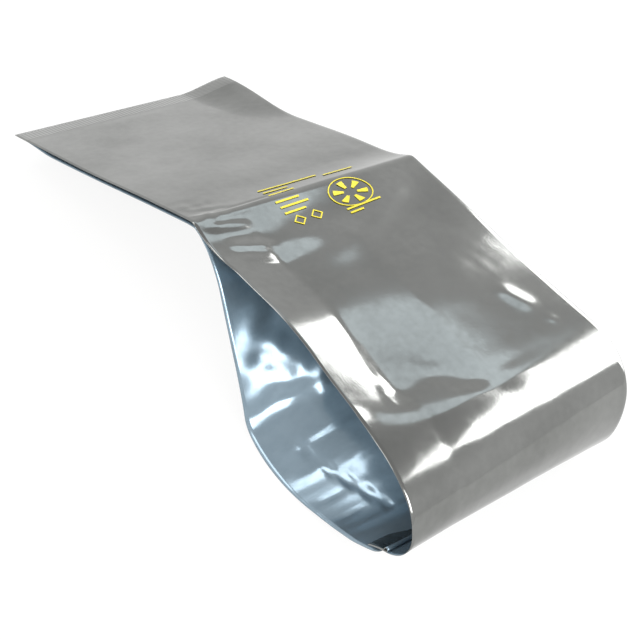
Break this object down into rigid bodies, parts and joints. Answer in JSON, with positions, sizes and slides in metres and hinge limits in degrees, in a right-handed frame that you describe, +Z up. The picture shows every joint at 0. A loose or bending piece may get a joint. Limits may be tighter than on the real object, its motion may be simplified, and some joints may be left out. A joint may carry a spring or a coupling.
{
  "type": "anti static shielding bag",
  "caption": "Open film pouch, wider than deep, creased across and lying with one half flat and the other half belled open into a loop.",
  "frame": {"origin": "under the middle of the bag's box, on the surface that it lies on", "axes": "+Z up, +X along the mouth from the flat flap to the open loop, +Y from the mouth to the folded bottom"},
  "size_m": [0.2602, 0.1118, 0.0621],
  "materials": {
    "film": "glossy metallised film"
  },
  "bodies": {
    "root": {"shielding_bag": "film"}
  },
  "joints": []
}
